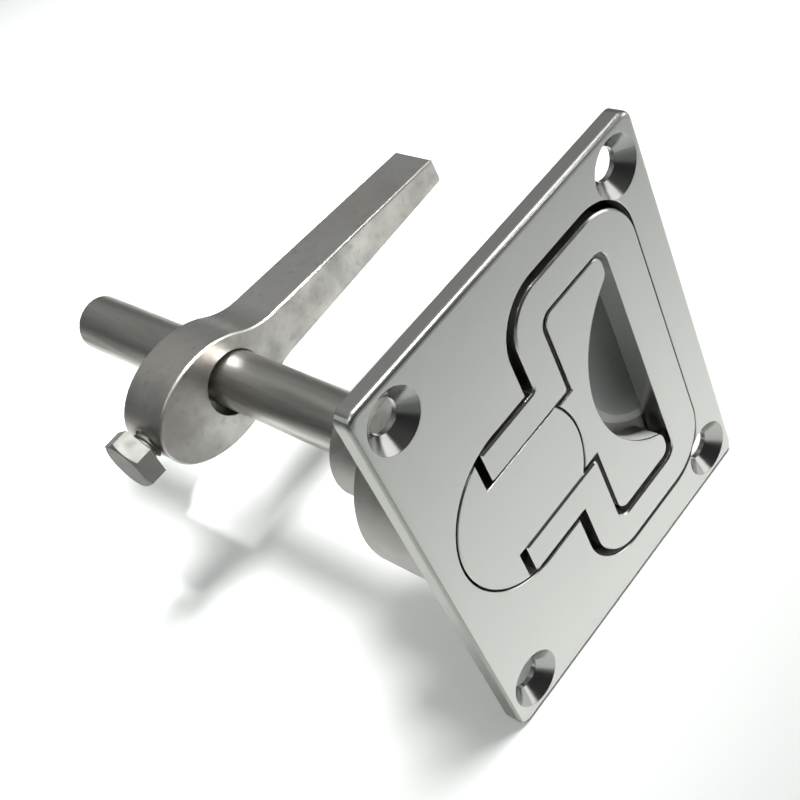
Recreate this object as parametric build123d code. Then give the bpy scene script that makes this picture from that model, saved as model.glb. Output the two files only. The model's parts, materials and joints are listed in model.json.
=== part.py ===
from build123d import *
import os
from math import cos, pi

# A flush turning-lock hatch latch in stainless steel, in millimetres.
# The plate stands upright: its face looks along -Y, the spindle runs back along +Y,
# +X goes from the handle's hinge to its grip and +Z is up. The origin is the middle
# of the plate's mounting face. "Depth" is measured back from the plate's front face.

# Plate
plate_length = 76.0
plate_width = 64.5
plate_thickness = 3.2
plate_corner_r = 2.2
plate_edge_r = 0.9
hole_edge_distance = 6.3
hole_r = 2.65
countersink_r = 4.95

# Turning core in the plate, and the casting that holds it
core_x = -13.1
core_r = 14.4
core_gap = 0.35
core_chamfer = 0.15
core_disc_depth = 8.4
core_hub_r = 10.0
core_hub_depth = 15.5
core_washer_thickness = 0.9
housing_wall = 2.4
housing_depth = 19.5
sleeve_r = 10.3
sleeve_depth = 32.1
sleeve_chamfer = 0.4
cast_chamfer = 0.8

# Recess for the folded handle
recess_heel_x = -5.2
recess_grip_x = 26.0
recess_half = 30.6
recess_heel_r = 9.3
recess_grip_r = 9.7
recess_floor_gap = 0.6
pan_wall = 2.2
rim_chamfer = 0.15

# Island inside the handle's loop, with the neck that joins it to the plate
island_heel_x = 3.2
island_tip_x = 17.3
island_half = 22.5
island_heel_r = 1.9
island_tip_r = 1.9
neck_half = 7.3

# Finger pocket, a scoop turned about an axis near the grip
scoop_x = 26.7
scoop_r = 20.5
scoop_floor_r = 5.0
scoop_depth = 11.0

# Folding handle. It lies pushed to the lower side of its play, and its loop is cast
# a little further to that side of its arms.
heel_gap = 2.0
side_gap = 1.1
grip_gap = 0.12
handle_heel_r = 7.3
handle_grip_r = 9.3
handle_play = 0.2
loop_offset = 0.45
loop_heel_x = 2.5
loop_grip_x = 18.8
loop_half = 23.45
loop_heel_r = 2.3
loop_grip_r = 2.9
loop_thickness = 4.5
arm_inner = 8.15
arm_width = 5.75
arm_end_gap = 1.8
arm_corner_r = 0.8
arm_thickness = 5.2
arm_heel_r = 2.3
arm_side_gap = 0.8
handle_chamfer = 0.3
slot_end = 5.1
slot_gap = 0.35
slot_floor_gap = 0.9

# Hinge pin
pin_r = 1.6
pin_clearance = 0.05
pin_end_gap = 0.9
pin_chamfer = 0.3

# Spindle with its seal and its keeper
spindle_r = 5.5
spindle_top_depth = 9.7
spindle_end_depth = 112.0
spindle_chamfer = 0.8
spindle_clearance = 0.06
seal_depth = 25.0
seal_width = 2.2
seal_groove = 1.5
seal_chamfer = 0.45
keeper_washer_r = 8.6
keeper_washer_thickness = 1.0
keeper_play = 0.08
ring_thickness = 1.0
ring_groove = 0.5
ring_band = 2.0
ring_mouth = 3.2
ring_eye_r = 1.5
ring_eye_hole_r = 0.6

# Cam lever
lever_depth = 67.6
lever_hub_thickness = 11.4
lever_tip_thickness = 10.1
lever_bore_r = 6.3
lever_hub_half_length = 14.3
lever_hub_half_width = 10.3
lever_hub_shift = 4.8
lever_reach = 59.6
lever_root_x = 20.0
lever_root_half = 4.5
lever_tip_half = 2.7
lever_blend_r = 14.0
lever_tip_r = 0.6
lever_chamfer = 0.3

# Clamp screw, M6
screw_r = 3.0
screw_clearance = 0.05
screw_head_af = 10.0
screw_head_height = 4.0
screw_face_r = 4.75
screw_crown_drop = 0.55
screw_head_standoff = 1.6
screw_tip_gap = 0.12
screw_tip_r = 2.0
screw_tip_length = 1.2

core_bore_r = core_r + core_gap
housing_r = core_bore_r + housing_wall
cup_floor_depth = core_hub_depth + core_washer_thickness
spindle_bore_r = spindle_r + spindle_clearance
recess_depth = loop_thickness + recess_floor_gap
pivot_depth = arm_thickness / 2
arm_end_x = core_x - slot_end + arm_end_gap
shoulder_x = recess_heel_x + heel_gap
arm_outer = arm_inner + arm_width
channel_depth = arm_thickness + recess_floor_gap
slot_depth = arm_thickness + slot_floor_gap
lever_mid_depth = lever_depth + lever_hub_thickness / 2
lever_hub_end = lever_hub_shift + lever_hub_half_length


def face_at(depth):
    """The plane parallel to the plate's face at a depth behind it."""
    return Plane(origin=(0, depth - plate_thickness, 0), x_dir=(1, 0, 0), z_dir=(0, -1, 0))


def sunk(sketch, start, end):
    """A sketch of the face, as a solid from one depth to another."""
    return extrude(face_at(start) * sketch, amount=start - end)


def turned(x, radius, start, end):
    """A round bar square to the face, from one depth to another."""
    return sunk(Pos(x, 0) * Circle(radius), start, end)


def span(x_low, x_high, z_low, z_high):
    """A rectangle of the face, given by its four sides."""
    middle = Pos((x_low + x_high) / 2, (z_low + z_high) / 2)
    return middle * Rectangle(x_high - x_low, z_high - z_low)


def tub(x_low, x_high, half, low_r, high_r):
    """A rectangle across the centre line with one radius at each end."""
    shape = span(x_low, x_high, -half, half)
    shape = fillet(shape.vertices().group_by(Axis.X)[0], low_r)
    return fillet(shape.vertices().group_by(Axis.X)[-1], high_r)


def both_sides(sketch):
    """A sketch and its mirror image across the centre line."""
    return sketch + mirror(sketch, Plane.XZ)


def recess_outline():
    return tub(recess_heel_x, recess_grip_x, recess_half, recess_heel_r, recess_grip_r)


def island_outline():
    island = span(island_heel_x, island_tip_x, -island_half, island_half)
    island -= Pos(scoop_x, 0) * Circle(scoop_r)
    corners = island.vertices().group_by(Axis.X)
    island = fillet(corners[0], island_heel_r)
    return fillet(island.vertices().group_by(Axis.X)[-1], island_tip_r)


def scoop(wall, start):
    """The finger pocket's bowl, grown by a wall for its outside, back from a start depth."""
    floor_y = scoop_depth + wall - plate_thickness
    front_y = -plate_thickness
    floor_edge = (scoop_x - scoop_floor_r, floor_y)
    rim = (scoop_x - scoop_r - wall, front_y)
    bowl = TangentArc(floor_edge, rim, tangent=(-1, 0))
    top_y = front_y - plate_thickness
    rest = Polyline(rim, (rim[0], top_y), (scoop_x, top_y), (scoop_x, floor_y), floor_edge)
    form = revolve(make_face(bowl + rest), Axis((scoop_x, 0, 0), (0, 1, 0)), 360)
    reach = span(recess_heel_x, recess_grip_x + wall, -recess_half, recess_half)
    return form & sunk(reach, start, scoop_depth + 2 * wall + 1)


def rims(body):
    """The edges round the recess and the island, in the plate's face."""
    plate_face, island_face = body.faces().filter_by(Axis.Y).group_by(Axis.Y)[0].sort_by(SortBy.AREA, reverse=True)
    return plate_face.inner_wires().edges() + island_face.outer_wire().edges()


def make_base_plate():
    plate = sunk(RectangleRounded(plate_width, plate_length, plate_corner_r), 0, plate_thickness)
    front = plate.faces().sort_by(Axis.Y)[0]
    plate = fillet(front.edges(), plate_edge_r)

    outline = recess_outline()
    pan = sunk(offset(outline, pan_wall), plate_thickness / 2, recess_depth + pan_wall)
    pan = chamfer(pan.faces().sort_by(Axis.Y)[-1].edges(), cast_chamfer)
    bump = scoop(pan_wall, plate_thickness / 2)
    housing = turned(core_x, housing_r, plate_thickness / 2, housing_depth)
    housing = chamfer(housing.faces().sort_by(Axis.Y)[-1].edges(), cast_chamfer)
    sleeve = turned(core_x, sleeve_r, cup_floor_depth, sleeve_depth)
    sleeve = chamfer(sleeve.faces().sort_by(Axis.Y)[-1].edges(), sleeve_chamfer)
    body = plate + pan + bump + housing + sleeve

    channels = both_sides(span(core_x, island_heel_x, neck_half, arm_outer + arm_side_gap))
    neck = span(core_x, island_heel_x + island_heel_r, -neck_half, neck_half)
    island = island_outline()
    body -= sunk(outline + channels - neck - island, 0, recess_depth)
    body -= sunk(channels, 0, channel_depth)
    body -= scoop(0, -1)
    body -= turned(core_x, core_bore_r, -1, cup_floor_depth)
    body -= turned(core_x, spindle_bore_r, cup_floor_depth - 1, sleeve_depth + 1)
    body = chamfer(rims(body), rim_chamfer)

    hole_x = plate_width / 2 - hole_edge_distance
    hole_z = plate_length / 2 - hole_edge_distance
    for x in (-hole_x, hole_x):
        for z in (-hole_z, hole_z):
            bore = sunk(Pos(x, z) * Circle(hole_r), -1, plate_thickness + 1)
            cone = Cone(hole_r, countersink_r, countersink_r - hole_r, align=(Align.CENTER, Align.CENTER, Align.MAX))
            body -= bore
            body -= face_at(0) * Pos(x, z) * cone
    return body


def make_rotor():
    core = turned(core_x, core_r, 0, core_disc_depth)
    core = chamfer(core.faces().sort_by(Axis.Y)[0].edges(), core_chamfer)
    core += turned(core_x, core_hub_r, core_disc_depth - 1, core_hub_depth)
    slots = both_sides(span(core_x - slot_end, core_x + 2 * core_r, arm_inner - slot_gap, 2 * core_r))
    core -= sunk(slots, -1, slot_depth)
    core -= turned(core_x, spindle_bore_r, spindle_top_depth - spindle_chamfer, core_hub_depth + 1)
    core -= hinge_bar(pin_r, 2 * core_r)
    return core


def hinge_bar(radius, length):
    """A bar along the handle's hinge line."""
    place = Pos(core_x, pivot_depth - plate_thickness, 0)
    return place * Cylinder(radius, length)


def make_hinge_pin():
    length = 2 * (arm_outer + arm_side_gap - pin_end_gap)
    pin = hinge_bar(pin_r, length)
    return chamfer(pin.edges(), pin_chamfer)


def handle_outline():
    """The loop, open between its two arms."""
    outer = tub(shoulder_x, recess_grip_x - grip_gap, recess_half - side_gap, handle_heel_r, handle_grip_r)
    inner = tub(loop_heel_x, loop_grip_x, loop_half, loop_heel_r, loop_grip_r)
    gate = span(recess_heel_x, loop_heel_x, -arm_inner, arm_inner)
    arms = both_sides(span(arm_end_x, loop_heel_x, arm_inner, arm_outer))
    outline = Pos(0, -loop_offset) * (outer - inner) - gate + arms
    near_arms = outline.vertices().filter_by(lambda corner: abs(corner.Y) < arm_outer + arm_corner_r)
    return fillet(near_arms, arm_corner_r)


def make_handle():
    loop = sunk(handle_outline(), 0, loop_thickness)
    heels = both_sides(span(arm_end_x, shoulder_x, arm_inner, arm_outer))
    handle = loop + sunk(heels, 0, arm_thickness)
    back_ends = handle.edges().filter_by(Axis.Z).group_by(Axis.X)[0].group_by(Axis.Y)[-1]
    handle = fillet(back_ends, arm_heel_r)
    front = handle.faces().filter_by(Axis.Y).sort_by(Axis.Y)[0]
    handle = chamfer(front.edges(), handle_chamfer) - hinge_bar(pin_r + pin_clearance, plate_length)
    return Pos(0, 0, -handle_play) * handle


def make_rotor_washer():
    ring = Circle(core_hub_r) - Circle(spindle_bore_r + core_gap)
    return sunk(Pos(core_x, 0) * ring, core_hub_depth, cup_floor_depth)


def keeper_groove_depth():
    return sleeve_depth + 2 * keeper_play + keeper_washer_thickness


def make_spindle():
    bar = turned(core_x, spindle_r, spindle_top_depth, spindle_end_depth)
    bar = chamfer(bar.edges(), spindle_chamfer)
    seal_ring = Circle(spindle_r + 1) - Circle(spindle_r - seal_groove)
    bar -= sunk(Pos(core_x, 0) * seal_ring, seal_depth, seal_depth + seal_width)
    ring = Circle(spindle_r + 1) - Circle(spindle_r - ring_groove)
    start = keeper_groove_depth()
    bar -= sunk(Pos(core_x, 0) * ring, start, start + ring_thickness)
    return bar


def make_shaft_seal():
    """A ring with rounded-off corners, from its groove's floor out to the bar's surface."""
    band = Circle(spindle_r) - Circle(spindle_r - seal_groove)
    gap = (seal_width - seal_groove) / 2
    seal = sunk(Pos(core_x, 0) * band, seal_depth + gap, seal_depth + gap + seal_groove)
    return chamfer(seal.edges().filter_by(GeomType.CIRCLE), seal_chamfer)


def make_keeper_washer():
    ring = Circle(keeper_washer_r) - Circle(spindle_bore_r)
    start = sleeve_depth + keeper_play
    return sunk(Pos(core_x, 0) * ring, start, start + keeper_washer_thickness)


def make_retaining_ring():
    """An outside circlip: an open band with an eye at each end."""
    inner = spindle_r - ring_groove
    band = Circle(inner + ring_band) - Circle(inner)
    band -= span(0, 2 * inner, -ring_mouth / 2, ring_mouth / 2)
    eye_x = inner + ring_band / 2 + ring_eye_hole_r
    eye_z = ring_mouth / 2 + ring_eye_r
    eyes = both_sides(Pos(eye_x, eye_z) * Circle(ring_eye_r))
    holes = both_sides(Pos(eye_x, eye_z) * Circle(ring_eye_hole_r))
    ring = band + eyes - holes - Circle(inner)
    start = keeper_groove_depth()
    return sunk(Pos(core_x, 0) * ring, start, start + ring_thickness)


def lever_outline():
    """Oval hub, longer on the screw's side, with a tapering arm blended into it."""
    hub = Pos(-lever_hub_shift, 0) * Ellipse(lever_hub_half_length, lever_hub_half_width)
    slope = (lever_root_half - lever_tip_half) / (lever_reach - lever_root_x)
    base_half = lever_root_half + slope * lever_root_x
    arm = make_face(Polyline(
        (0, -base_half), (lever_reach, -lever_tip_half), (lever_reach, lever_tip_half), (0, base_half), close=True
    ))
    outline = fillet((hub + arm).vertices().group_by(Axis.X)[0], lever_blend_r)
    return fillet(outline.vertices().group_by(Axis.X)[-1], lever_tip_r)


def make_cam_lever():
    outline = Pos(core_x, 0) * lever_outline()
    lever = sunk(outline, lever_depth, lever_depth + lever_hub_thickness)

    tip_x = core_x + lever_reach
    back_y = lever_depth + lever_hub_thickness - plate_thickness
    tip_y = lever_depth + lever_tip_thickness - plate_thickness
    taper = make_face(Polyline((core_x - lever_hub_end, back_y), (tip_x, tip_y), (tip_x, back_y), close=True))
    lever -= extrude(taper, amount=lever_hub_half_width, both=True)

    faces = lever.faces().sort_by(Axis.Y)
    lever = chamfer(faces[0].edges() + faces[-1].edges(), lever_chamfer)
    bore_x = core_x + spindle_r + spindle_clearance - lever_bore_r
    lever -= turned(bore_x, lever_bore_r, lever_depth - 1, lever_depth + lever_hub_thickness + 1)
    lever -= clamp_bar(screw_r + screw_clearance, lever_hub_end, spindle_r)
    return lever


def clamp_bar(radius, length, start):
    """A bar along the clamp screw's axis, outwards from the spindle's axis."""
    place = Plane(
        origin=(core_x - start, lever_mid_depth - plate_thickness, 0), x_dir=(0, 0, 1), z_dir=(-1, 0, 0)
    )
    return place * Cylinder(radius, length, align=(Align.CENTER, Align.CENTER, Align.MIN))


def make_lever_screw():
    tip = spindle_r + screw_tip_gap
    under_head = lever_hub_end + screw_head_standoff
    shank = clamp_bar(screw_r, under_head - tip - screw_tip_length, tip + screw_tip_length)
    point = clamp_bar(screw_tip_r, screw_tip_length + 1, tip)
    place = Plane(
        origin=(core_x - under_head, lever_mid_depth - plate_thickness, 0), x_dir=(0, 0, 1), z_dir=(-1, 0, 0)
    )
    head = place * extrude(RegularPolygon(screw_head_af / 2, 6, major_radius=False), screw_head_height)
    corner_r = screw_head_af / 2 / cos(pi / 6)
    crown = Cylinder(corner_r, screw_head_height, align=(Align.CENTER, Align.CENTER, Align.MIN))
    crown_edge = crown.edges().sort_by(Axis.Z)[-1]
    crown = chamfer(crown_edge, length=screw_crown_drop, length2=corner_r - screw_face_r)
    return shank + point + (head & place * crown)


pieces = {
    "base_plate": make_base_plate,
    "rotor": make_rotor,
    "rotor_washer": make_rotor_washer,
    "hinge_pin": make_hinge_pin,
    "handle": make_handle,
    "spindle": make_spindle,
    "shaft_seal": make_shaft_seal,
    "keeper_washer": make_keeper_washer,
    "retaining_ring": make_retaining_ring,
    "cam_lever": make_cam_lever,
    "lever_screw": make_lever_screw,
}

os.makedirs("parts", exist_ok=True)
for name, make in pieces.items():
    export_step(make(), f"parts/{name}.step")
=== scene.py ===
import json
import math

import bmesh
import bpy
from mathutils import Matrix, Vector


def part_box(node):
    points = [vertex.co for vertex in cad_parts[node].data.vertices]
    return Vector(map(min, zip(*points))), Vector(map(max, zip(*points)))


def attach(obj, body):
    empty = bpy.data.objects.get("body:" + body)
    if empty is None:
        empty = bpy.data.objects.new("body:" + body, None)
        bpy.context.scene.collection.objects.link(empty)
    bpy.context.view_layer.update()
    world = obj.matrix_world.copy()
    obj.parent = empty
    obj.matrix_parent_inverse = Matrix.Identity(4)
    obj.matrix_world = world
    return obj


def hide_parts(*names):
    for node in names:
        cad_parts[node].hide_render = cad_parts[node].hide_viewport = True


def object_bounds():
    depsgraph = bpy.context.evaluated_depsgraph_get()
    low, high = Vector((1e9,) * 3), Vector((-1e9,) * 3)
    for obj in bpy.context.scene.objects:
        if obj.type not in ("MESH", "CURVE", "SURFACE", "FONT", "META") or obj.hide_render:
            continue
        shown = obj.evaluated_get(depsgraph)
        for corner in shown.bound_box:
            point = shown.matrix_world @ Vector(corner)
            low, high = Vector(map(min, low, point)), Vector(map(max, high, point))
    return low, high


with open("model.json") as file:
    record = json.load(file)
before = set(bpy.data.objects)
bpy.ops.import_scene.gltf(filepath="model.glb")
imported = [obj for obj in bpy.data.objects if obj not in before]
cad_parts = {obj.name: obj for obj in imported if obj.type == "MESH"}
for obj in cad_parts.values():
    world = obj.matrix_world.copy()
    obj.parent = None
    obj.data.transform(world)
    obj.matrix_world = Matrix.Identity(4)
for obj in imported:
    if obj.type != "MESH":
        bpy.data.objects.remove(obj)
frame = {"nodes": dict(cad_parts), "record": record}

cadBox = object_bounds()
millimetre = 0.001


def say(stage):
    print("latch:", stage)


def linear(hexColour):
    # sRGB hex to Blender's linear colour
    parts = [int(hexColour[i:i + 2], 16) / 255 for i in (1, 3, 5)]
    return tuple(p / 12.92 if p <= 0.04045 else ((p + 0.055) / 1.055) ** 2.4 for p in parts) + (1.0,)


def addNode(tree, kind, inputs=(), **settings):
    # a node with its settings, and with a value or a link on each input that is named
    node = tree.nodes.new("ShaderNode" + kind)
    for name, value in settings.items():
        setattr(node, name, value)
    for name, value in dict(inputs).items():
        if isinstance(value, bpy.types.NodeSocket):
            tree.links.new(value, node.inputs[name])
        else:
            node.inputs[name].default_value = value
    return node


def newMaterial(name):
    # a bare material, its node tree and the Object coordinates that its patterns follow
    material = bpy.data.materials.new(name)
    material.use_nodes = True
    tree = material.node_tree
    tree.nodes.clear()
    return material, tree, addNode(tree, "TexCoord").outputs["Object"]


def newObject(name, bm):
    mesh = bpy.data.meshes.new(name)
    bm.to_mesh(mesh)
    bm.free()
    piece = bpy.data.objects.new(name, mesh)
    bpy.context.scene.collection.objects.link(piece)
    return piece


# Camera, set where the photograph was taken from. Its lens and sensor are in millimetres.

view = {
    "place": (-0.08865, -0.11821, 0.14968),
    "right": (0.6130, -0.7055, -0.3557),
    "up": (0.6985, 0.2736, 0.6612),
    "lens": 61.16, "sensor": 36.0,
    "nearest": 0.005,
}


def makeCamera():
    right = Vector(view["right"]).normalized()
    back = right.cross(Vector(view["up"])).normalized()
    up = back.cross(right)
    turn = Matrix((right, up, back)).transposed().to_4x4()
    camera = bpy.data.objects.new("camera", bpy.data.cameras.new("camera"))
    camera.matrix_world = Matrix.Translation(view["place"]) @ turn
    camera.data.lens = view["lens"]
    camera.data.sensor_width = view["sensor"]
    camera.data.clip_start = view["nearest"]
    bpy.context.scene.collection.objects.link(camera)
    bpy.context.scene.camera = camera


# What the materials share. The sizes of finishes are in millimetres.

noiseSpan = {"From Min": 0.3, "From Max": 0.7}  # most of a noise pattern's values lie in it
edgeSamples = 6                                 # rays that find a softened edge
mixSockets = {"FLOAT": (2, 3, 0), "RGBA": (6, 7, 2)}  # a Mix node's two inputs and its result


def patches(tree, place, sizes, detail=2):
    # soft random patches, this many millimetres across along X, Y and Z
    scale = [1 / (size * millimetre) for size in sizes]
    sized = addNode(tree, "Mapping", {"Vector": place, "Scale": scale})
    noise = addNode(tree, "TexNoise", {"Vector": sized.outputs[0], "Scale": 1, "Detail": detail})
    return noise.outputs["Fac"]


def relief(tree, place, recipe, layers):
    # a normal with softened edges, and with a recipe's patterns laid over it one after the other
    edge = addNode(tree, "Bevel", {"Radius": recipe["softEdge"] * millimetre}, samples=edgeSamples)
    normal = edge.outputs[0]
    for layer in layers:
        bump = addNode(tree, "Bump", {"Height": patches(tree, place, recipe[layer]), "Normal": normal,
                                      "Distance": recipe[layer + "Depth"] * millimetre})
        normal = bump.outputs[0]
    return normal


def paintOver(tree, look, mask, coat):
    # a look with a coat's colour, roughness or metallic laid over it, as far as the mask lets it
    painted = dict(look)
    for part, value in coat.items():
        kind = "RGBA" if part.endswith("Color") else "FLOAT"
        under, over, result = mixSockets[kind]
        mix = addNode(tree, "Mix", {0: mask, under: look[part], over: value}, data_type=kind)
        painted[part] = mix.outputs[result]
    return painted


# Table and studio light. Lengths are in metres and the lamps' energy is in watts.

table = {"size": 12.0, "colour": "#f2f4f2", "roughness": 0.7, "specular": 0.2}
lamps = {
    # a soft overhead key and a weaker one from the left, whose pools of light end in front of the plate,
    # a low panel on the right, and a narrow accent over the plate on to the lever's hub
    "key": {
        "kind": "SPOT", "aim": (0.02, 0.185, -0.038), "towards": (0.22, -0.28, 0.93),
        "distance": 0.70,
        "light": {"energy": 29.0, "spot_size": math.radians(41), "spot_blend": 0.45,
                  "shadow_soft_size": 0.12},
    },
    "left": {
        "kind": "SPOT", "aim": (-0.06, 0.03, -0.038), "towards": (-0.45, -0.25, 0.86),
        "distance": 0.50,
        "light": {"energy": 3.4, "spot_size": math.radians(27), "spot_blend": 1.0,
                  "shadow_soft_size": 0.08},
    },
    "side": {
        "kind": "AREA", "aim": (0.0, 0.0, 0.0), "towards": (0.85, -0.45, 0.25),
        "distance": 0.60,
        "light": {"energy": 0.8, "size": 0.36},
    },
    "accent": {
        "kind": "SPOT", "aim": (-0.013, 0.062, 0.008), "towards": (0.37, -0.65, 0.66),
        "distance": 0.60,
        "light": {"energy": 40.0, "spot_size": math.radians(4.5), "spot_blend": 1.0,
                  "shadow_soft_size": 0.014},
    },
}
sky = {
    # brightness along an axis that leans back from the zenith, from behind the camera up to overhead
    "axis": (0.0, 0.35, 0.94),
    "strength": 0.8,
    "stops": {0.0: "#3a3c3c", 0.3: "#4a4c4c", 0.5: "#777a79", 0.84: "#b4b7b6", 0.95: "#dcdfdd"},
    # a paper backdrop rises all round, and fades out between these heights of a unit direction
    "backdrop": "#949695", "backdropFade": (0.02, 0.20),
}


def mattWhiteBoard(name):
    # Painted board with a matt skin: an even white that hardly reflects
    material, tree, _ = newMaterial(name)
    shader = addNode(tree, "BsdfPrincipled", {
        "Base Color": linear(table["colour"]), "Roughness": table["roughness"],
        "Specular IOR Level": table["specular"]})
    addNode(tree, "OutputMaterial", {"Surface": shader.outputs[0]})
    return material


def makeTable():
    bm = bmesh.new()
    bmesh.ops.create_grid(bm, x_segments=1, y_segments=1, size=table["size"] / 2)
    bmesh.ops.translate(bm, verts=bm.verts, vec=(0, 0, cadBox[0][2]))
    top = newObject("table", bm)
    top.data.materials.append(mattWhiteBoard("mattWhiteBoard"))


def makeLights():
    for name, lamp in lamps.items():
        light = bpy.data.lights.new(name, lamp["kind"])
        for setting, value in lamp["light"].items():
            setattr(light, setting, value)
        towards = Vector(lamp["towards"]).normalized()
        holder = bpy.data.objects.new(name, light)
        holder.matrix_world = (Matrix.Translation(Vector(lamp["aim"]) + towards * lamp["distance"])
                               @ towards.to_track_quat("Z", "Y").to_matrix().to_4x4())
        bpy.context.scene.collection.objects.link(holder)


def fillRamp(ramp, stops):
    # colours by position, on a new colour ramp
    elements = ramp.color_ramp.elements
    while len(elements) < len(stops):
        elements.new(1.0)
    for element, position in zip(elements, sorted(stops)):
        element.position = position
        element.color = linear(stops[position])


def makeSky():
    world = bpy.data.worlds.new("studio")
    world.use_nodes = True
    bpy.context.scene.world = world
    tree = world.node_tree
    tree.nodes.clear()
    direction = addNode(tree, "TexCoord").outputs["Generated"]
    along = addNode(tree, "VectorMath", {0: direction, 1: sky["axis"]}, operation="DOT_PRODUCT")
    ramp = addNode(tree, "ValToRGB", {"Fac": along.outputs["Value"]})
    fillRamp(ramp, sky["stops"])
    height = addNode(tree, "SeparateXYZ", {0: direction}).outputs["Z"]
    full, gone = sky["backdropFade"]
    paper = addNode(tree, "MapRange", {"Value": height, "From Min": full, "From Max": gone,
                                       "To Min": 1.0, "To Max": 0.0})
    look = paintOver(tree, {"Color": ramp.outputs["Color"]}, paper.outputs[0],
                     {"Color": linear(sky["backdrop"])})
    glow = addNode(tree, "Background", {**look, "Strength": sky["strength"]})
    addNode(tree, "OutputWorld", {"Surface": glow.outputs[0]})


# Plate, rotor and handle

buffed = {
    "colour": "#c8c8c5",
    "cloud": (16, 16, 16), "roughness": (0.17, 0.25),
    # wipe marks of the buffing wheel, drawn five times as coarse as they are
    "wipe": (5, 0.35, 0.35), "wipeDepth": 0.0008,
    "softEdge": 0.15,
}
plateZones = {
    # the pocket is all that lies deeper than the face, and the back is what lies behind the mounting face
    "faceDepth": 0.5, "backMargin": 0.05,
    "rim": "#9d9d99", "rimRoughness": 0.34, "rimMargin": 0.45,
    # lines of the belt that ground the rim, drawn twice as coarse as they are
    "rimLine": (30, 0.25, 30), "rimLineDepth": 0.004,
    # the countersinks' colour is darker than the face: painted shade in the hollow cones
    "sink": "#a4a4a1", "sinkRoughness": 0.20, "sinkRadius": 4.95,
    "pocket": "#d4d6d4", "pocketRoughness": 0.60, "bowlMetallic": 0.15,
    "skin": (3.5, 3.5, 3.5), "skinDark": "#8a8884", "skinLight": "#aaa8a4", "skinRoughness": (0.38, 0.56),
    "grit": (0.5, 0.5, 0.5), "gritDepth": 0.05,
}
# the pocket's turned bowl and the flat wall under the grip, both to the middle of their thickness
bowl = {"axisX": 26.7, "floorRadius": 5.0, "arcDepth": -5.4, "arcRadius": 17.5, "gripWallX": 27.1}


def buffWheel(tree, place):
    # roughness and normal of a buffed face
    cloud = patches(tree, place, buffed["cloud"], detail=3)
    low, high = buffed["roughness"]
    polish = addNode(tree, "MapRange", {**noiseSpan, "Value": cloud, "To Min": low, "To Max": high})
    return polish.outputs[0], relief(tree, place, buffed, ["wipe"])


def buffedStainless(name):
    # Cast 316 stainless, face buffed on a wheel: cloudy, near-mirror reflections with faint wipe marks
    material, tree, place = newMaterial(name)
    polish, marks = buffWheel(tree, place)
    shader = addNode(tree, "BsdfPrincipled", {
        "Base Color": linear(buffed["colour"]), "Metallic": 1.0, "Roughness": polish, "Normal": marks})
    addNode(tree, "OutputMaterial", {"Surface": shader.outputs[0]})
    return material


def axisDistance(tree, place, centre):
    # how far a point is from the line along Y through the centre
    offset = addNode(tree, "VectorMath", {0: place, 1: centre}, operation="SUBTRACT")
    flat = addNode(tree, "VectorMath", {0: offset.outputs[0], 1: (1, 0, 1)}, operation="MULTIPLY")
    return addNode(tree, "VectorMath", {0: flat.outputs[0]}, operation="LENGTH").outputs["Value"]


def bowlDistance(tree, place, depth):
    # how far a point is from the circle that the centre of the bowl's arc makes round the bowl's axis
    reach = axisDistance(tree, place, (bowl["axisX"] * millimetre, 0, 0))
    outwards = addNode(tree, "Math", {0: reach, 1: bowl["floorRadius"] * millimetre}, operation="SUBTRACT")
    ring = addNode(tree, "Math", {0: outwards.outputs[0], 1: 0.0}, operation="MAXIMUM")
    arcLevel = cadBox[0][1] + bowl["arcDepth"] * millimetre
    downwards = addNode(tree, "Math", {0: depth, 1: arcLevel}, operation="SUBTRACT")
    profile = addNode(tree, "CombineXYZ", {"X": ring.outputs[0], "Y": downwards.outputs[0]})
    return addNode(tree, "VectorMath", {0: profile.outputs[0]}, operation="LENGTH").outputs["Value"]


def plateMasks(tree, place):
    # where each zone of the plate lies: 1 inside it and 0 outside
    axes = addNode(tree, "SeparateXYZ", {0: place})
    folded = addNode(tree, "VectorMath", {0: place}, operation="ABSOLUTE").outputs[0]
    half = addNode(tree, "SeparateXYZ", {0: folded})
    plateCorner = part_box("base_plate")[1]
    rimMargin = plateZones["rimMargin"] * millimetre
    limits = {
        "side": (half.outputs["X"], plateCorner[0] - rimMargin),
        "end": (half.outputs["Z"], plateCorner[2] - rimMargin),
        "face": (axes.outputs["Y"], cadBox[0][1] + plateZones["faceDepth"] * millimetre),
        "mountingFace": (axes.outputs["Y"], -plateZones["backMargin"] * millimetre),
        "bowl": (bowlDistance(tree, place, axes.outputs["Y"]), bowl["arcRadius"] * millimetre),
        "gripWall": (axes.outputs["X"], bowl["gripWallX"] * millimetre),
    }
    past = {}
    for name, (distance, limit) in limits.items():
        past[name] = addNode(tree, "Math", {0: distance, 1: limit}, operation="GREATER_THAN").outputs[0]
    outside = addNode(tree, "Math", {0: past["bowl"], 1: past["gripWall"]}, operation="MAXIMUM").outputs[0]

    holes = {mount["name"]: mount["dims"] for mount in frame["record"]["mounts"]}["mounting_holes"]
    holeCorner = (holes["spacing_x_mm"] / 2 * millimetre, 0, holes["spacing_y_mm"] / 2 * millimetre)
    holeDistance = axisDistance(tree, folded, holeCorner)
    zones = {
        "rim": (past["side"], past["end"], "MAXIMUM"),
        "sink": (holeDistance, plateZones["sinkRadius"] * millimetre, "LESS_THAN"),
        "back": (past["mountingFace"], outside, "MULTIPLY"),
        "bowl": (past["face"], outside, "SUBTRACT"),  # less than 0 on the face, which counts as 0
    }
    masks = {"pocket": past["face"]}
    for zone, (one, other, operation) in zones.items():
        masks[zone] = addNode(tree, "Math", {0: one, 1: other}, operation=operation).outputs[0]
    return masks


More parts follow.
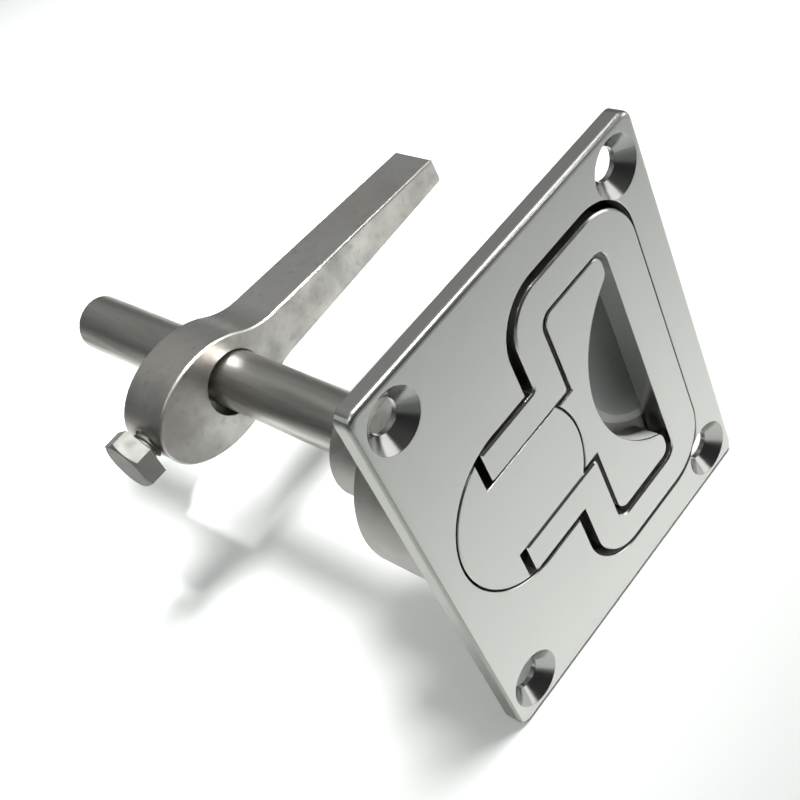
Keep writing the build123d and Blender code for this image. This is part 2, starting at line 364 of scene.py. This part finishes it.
def buffedStainlessCasting(name):
    # The same casting with the rest of it left as it came: only the face is buffed. The rim is ground
    # satin, the countersinks are cut bright and painted darker than the face as painted shade in their
    # hollow cones, the finger pocket is blasted and the back is cast skin
    material, tree, place = newMaterial(name)
    polish, marks = buffWheel(tree, place)
    masks = plateMasks(tree, place)
    skin = patches(tree, place, plateZones["skin"], detail=4)
    low, high = plateZones["skinRoughness"]
    dull = addNode(tree, "MapRange", {**noiseSpan, "Value": skin, "To Min": low, "To Max": high})
    castSkin = paintOver(tree, {"Base Color": linear(plateZones["skinDark"])}, skin,
                         {"Base Color": linear(plateZones["skinLight"])})

    look = {"Base Color": linear(buffed["colour"]), "Roughness": polish, "Metallic": 1.0}
    for zone in ("pocket", "rim", "sink"):
        look = paintOver(tree, look, masks[zone], {"Base Color": linear(plateZones[zone]),
                                                   "Roughness": plateZones[zone + "Roughness"]})
    look = paintOver(tree, look, masks["back"], {**castSkin, "Roughness": dull.outputs[0]})
    look = paintOver(tree, look, masks["bowl"], {"Metallic": plateZones["bowlMetallic"]})

    lines = patches(tree, place, plateZones["rimLine"])
    ground = addNode(tree, "Bump", {"Height": lines, "Strength": masks["rim"], "Normal": marks,
                                    "Distance": plateZones["rimLineDepth"] * millimetre})
    grit = patches(tree, place, plateZones["grit"], detail=3)
    cast = addNode(tree, "Bump", {"Height": grit, "Strength": masks["back"], "Normal": ground.outputs[0],
                                  "Distance": plateZones["gritDepth"] * millimetre})
    shader = addNode(tree, "BsdfPrincipled", {**look, "Normal": cast.outputs[0]})
    addNode(tree, "OutputMaterial", {"Surface": shader.outputs[0]})
    return material


# Cam lever

tumbled = {
    "cloud": (6, 6, 6), "cloudSpan": {"From Min": 0.33, "From Max": 0.67},
    "dark": "#9a9894", "light": "#bfbdb9", "roughness": (0.31, 0.42),
    "stain": (22, 22, 22), "stainSpan": {"From Min": 0.45, "From Max": 0.7, "To Max": 0.4},
    "stainColour": "#a39a95",
    "pock": (1.6, 1.6, 1.6), "pockSpan": {"From Min": 0.58, "From Max": 0.72, "To Max": 0.3},
    "pockColour": "#75736e",
    # waves left by hand linishing, and the peened skin drawn twice as coarse as it is
    "wave": (4, 9, 4), "waveDepth": 0.03, "grit": (0.4, 0.4, 0.4), "gritDepth": 0.010,
    "softEdge": 0.35,
}


def tumbledStainlessCasting(name):
    # Investment-cast stainless, blasted and tumbled: a soft sheen, mottled and pocked where the skin
    # varies, faintly brown where it has stained, and rounded over along its edges
    material, tree, place = newMaterial(name)
    cloud = patches(tree, place, tumbled["cloud"], detail=6)
    tone = addNode(tree, "MapRange", {**tumbled["cloudSpan"], "Value": cloud}).outputs[0]
    stains = patches(tree, place, tumbled["stain"])
    stain = addNode(tree, "MapRange", {**tumbled["stainSpan"], "Value": stains}).outputs[0]
    pocks = patches(tree, place, tumbled["pock"], detail=3)
    pock = addNode(tree, "MapRange", {**tumbled["pockSpan"], "Value": pocks}).outputs[0]
    look = {"Base Color": linear(tumbled["dark"])}
    for mask, colour in ((tone, "light"), (stain, "stainColour"), (pock, "pockColour")):
        look = paintOver(tree, look, mask, {"Base Color": linear(tumbled[colour])})
    low, high = tumbled["roughness"]
    rough = addNode(tree, "MapRange", {"Value": tone, "To Min": high, "To Max": low})
    shader = addNode(tree, "BsdfPrincipled", {
        **look, "Metallic": 1.0, "Roughness": rough.outputs[0],
        "Normal": relief(tree, place, tumbled, ["wave", "grit"])})
    addNode(tree, "OutputMaterial", {"Surface": shader.outputs[0]})
    return material


# Spindle

drawn = {
    "streak": (2.6, 30, 2.6), "streakSpan": {"From Min": 0.33, "From Max": 0.67},
    "dark": "#7d7b77", "light": "#b0aea9", "roughness": (0.30, 0.44),
    # die lines along the bar, drawn four times as coarse as they are
    "line": (0.25, 16, 0.25), "lineDepth": 0.003, "wave": (3, 30, 3), "waveDepth": 0.03,
    "softEdge": 0.3,
}


def drawnStainlessBar(name):
    # Bright drawn stainless bar that has been handled: satin, with broad streaks and fine die lines
    # along its length
    material, tree, place = newMaterial(name)
    streaks = patches(tree, place, drawn["streak"], detail=6)
    streak = addNode(tree, "MapRange", {**drawn["streakSpan"], "Value": streaks}).outputs[0]
    look = paintOver(tree, {"Base Color": linear(drawn["dark"])}, streak,
                     {"Base Color": linear(drawn["light"])})
    low, high = drawn["roughness"]
    rough = addNode(tree, "MapRange", {"Value": streak, "To Min": high, "To Max": low})
    shader = addNode(tree, "BsdfPrincipled", {
        **look, "Metallic": 1.0, "Roughness": rough.outputs[0],
        "Normal": relief(tree, place, drawn, ["wave", "line"])})
    addNode(tree, "OutputMaterial", {"Surface": shader.outputs[0]})
    return material


# Clamp screw and hinge pin

headed = {"colour": "#7a7a76", "cloud": (2.5, 2.5, 2.5), "roughness": (0.56, 0.68), "dentDepth": 0.012,
          "softEdge": 0.12}


def headedStainless(name):
    # Cold-headed stainless, tumbled: satin, with small dents and softened corners
    material, tree, place = newMaterial(name)
    cloud = patches(tree, place, headed["cloud"], detail=3)
    low, high = headed["roughness"]
    rough = addNode(tree, "MapRange", {**noiseSpan, "Value": cloud, "To Min": low, "To Max": high})
    bump = addNode(tree, "Bump", {"Height": cloud, "Normal": relief(tree, place, headed, []),
                                  "Distance": headed["dentDepth"] * millimetre})
    shader = addNode(tree, "BsdfPrincipled", {
        "Base Color": linear(headed["colour"]), "Metallic": 1.0, "Roughness": rough.outputs[0],
        "Normal": bump.outputs[0]})
    addNode(tree, "OutputMaterial", {"Surface": shader.outputs[0]})
    return material


# Retaining ring

strip = {"colour": "#8e8e8b", "grain": (1.1, 1.1, 1.1), "roughness": (0.28, 0.42), "grainDepth": 0.004}


def rolledSpringSteel(name):
    # Stamped spring strip, as rolled and heat treated: grey and a little dull
    material, tree, place = newMaterial(name)
    grain = patches(tree, place, strip["grain"], detail=3)
    low, high = strip["roughness"]
    rough = addNode(tree, "MapRange", {**noiseSpan, "Value": grain, "To Min": low, "To Max": high})
    bump = addNode(tree, "Bump", {"Height": grain, "Distance": strip["grainDepth"] * millimetre})
    shader = addNode(tree, "BsdfPrincipled", {
        "Base Color": linear(strip["colour"]), "Metallic": 1.0, "Roughness": rough.outputs[0],
        "Normal": bump.outputs[0]})
    addNode(tree, "OutputMaterial", {"Surface": shader.outputs[0]})
    return material


# Seal and washers

soft = {
    # the grain of both skins is drawn four times as coarse as it is
    "nitrile": {"colour": "#1c1c1c", "roughness": 0.55, "grain": (0.4, 0.4, 0.4), "grainDepth": 0.01},
    "acetal": {"colour": "#e4e2d8", "roughness": 0.40, "grain": (0.7, 0.7, 0.7), "grainDepth": 0.006},
}


def softMaterial(name, recipe):
    material, tree, place = newMaterial(name)
    bump = addNode(tree, "Bump", {"Height": patches(tree, place, recipe["grain"]),
                                  "Distance": recipe["grainDepth"] * millimetre})
    shader = addNode(tree, "BsdfPrincipled", {
        "Base Color": linear(recipe["colour"]), "Roughness": recipe["roughness"],
        "Normal": bump.outputs[0]})
    addNode(tree, "OutputMaterial", {"Surface": shader.outputs[0]})
    return material


def mouldedNitrile(name):
    # Moulded nitrile rubber: near black, with a fine matt skin
    return softMaterial(name, soft["nitrile"])


def naturalAcetal(name):
    # Washer cut from natural acetal sheet: milky white and smooth
    return softMaterial(name, soft["acetal"])


finishes = {
    "base_plate": buffedStainlessCasting, "rotor": buffedStainless, "handle": buffedStainless,
    "rotor_washer": naturalAcetal, "hinge_pin": headedStainless, "spindle": drawnStainlessBar,
    "shaft_seal": mouldedNitrile, "keeper_washer": naturalAcetal, "retaining_ring": rolledSpringSteel,
    "cam_lever": tumbledStainlessCasting, "lever_screw": headedStainless,
}


def finishNodes():
    made = {}
    for node, finish in finishes.items():
        if finish not in made:
            made[finish] = finish(finish.__name__)
        slots = frame["nodes"][node].data.materials
        slots.clear()
        slots.append(made[finish])


# Clamp screw with its thread, in place of the CAD node's plain bar

screw = {
    "pitch": 1.0, "coreRadius": 2.39, "crestRadius": 2.98, "crestWidth": 0.14, "rootWidth": 0.86,
    "headHeight": 4.0, "pointLength": 1.2, "runout": 0.3,
    # the thread's root lies this deep in the core, and the head is cut off this far above its underside
    "rootSink": 0.1, "headCut": 0.02,
    "mergeDistance": 0.001, "stepsPerTurn": 32, "coreSegments": 48, "sharpAngle": 20,
}


def keepHead(cad, cutX):
    # the head alone, from the CAD node's mesh
    bm = bmesh.new()
    bm.from_mesh(cad.data)
    bmesh.ops.remove_doubles(bm, verts=bm.verts, dist=screw["mergeDistance"] * millimetre)
    cut = bmesh.ops.bisect_plane(bm, geom=bm.verts[:] + bm.edges[:] + bm.faces[:], plane_co=(cutX, 0, 0),
                                 plane_no=(1, 0, 0), clear_outer=True)["geom_cut"]
    rim = [edge for edge in cut if isinstance(edge, bmesh.types.BMEdge)]
    bmesh.ops.holes_fill(bm, edges=rim, sides=0)
    return bm


def addThread(bm, start, end, middle):
    # a ridge wound round the core
    steps, pitch = screw["stepsPerTurn"], screw["pitch"] * millimetre
    root = (screw["coreRadius"] - screw["rootSink"]) * millimetre
    crest = screw["crestRadius"] * millimetre
    profile = [(root, -screw["rootWidth"]), (crest, -screw["crestWidth"]),
               (crest, screw["crestWidth"]), (root, screw["rootWidth"])]
    corners = [bm.verts.new((start + along / 2 * millimetre, middle[1], middle[2] + height))
               for height, along in profile]
    section = bm.faces.new(corners)
    turns = (end - start) / pitch
    bmesh.ops.spin(bm, geom=[section, *section.edges, *corners], cent=(start, middle[1], middle[2]),
                   axis=(1, 0, 0), dvec=(pitch / steps, 0, 0), angle=turns * 2 * math.pi,
                   steps=round(turns * steps), use_merge=False, use_duplicate=False)


def makeScrew():
    cad = frame["nodes"]["lever_screw"]
    low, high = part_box("lever_screw")
    middle = [(near + far) / 2 for near, far in zip(low, high)]
    underHead = low[0] + screw["headHeight"] * millimetre
    bm = keepHead(cad, underHead - screw["headCut"] * millimetre)
    coreLength = high[0] - underHead
    coreRadius = screw["coreRadius"] * millimetre
    place = (Matrix.Translation((underHead + coreLength / 2, middle[1], middle[2]))
             @ Matrix.Rotation(math.pi / 2, 4, "Y"))
    bmesh.ops.create_cone(bm, cap_ends=True, segments=screw["coreSegments"], radius1=coreRadius,
                          radius2=coreRadius, depth=coreLength, matrix=place)
    threadStart = underHead + screw["runout"] * millimetre
    threadEnd = high[0] - screw["pointLength"] * millimetre
    addThread(bm, threadStart, threadEnd, middle)
    bmesh.ops.recalc_face_normals(bm, faces=bm.faces)
    piece = newObject("clampScrew", bm)
    # the shading that came with the CAD mesh doesn't fit the cut head, so sharp corners are marked anew
    piece.data.attributes.remove(piece.data.attributes["custom_normal"])
    piece.data.shade_smooth()
    piece.data.set_sharp_from_angle(angle=math.radians(screw["sharpAngle"]))
    piece.data.materials.append(cad.data.materials[0])
    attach(piece, "screw")
    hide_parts("lever_screw")


makeCamera()
say("camera")
makeTable()
makeLights()
makeSky()
say("studio")
finishNodes()
say("finishes")
makeScrew()
say("clamp screw")

bpy.context.scene.view_settings.view_transform = "Standard"
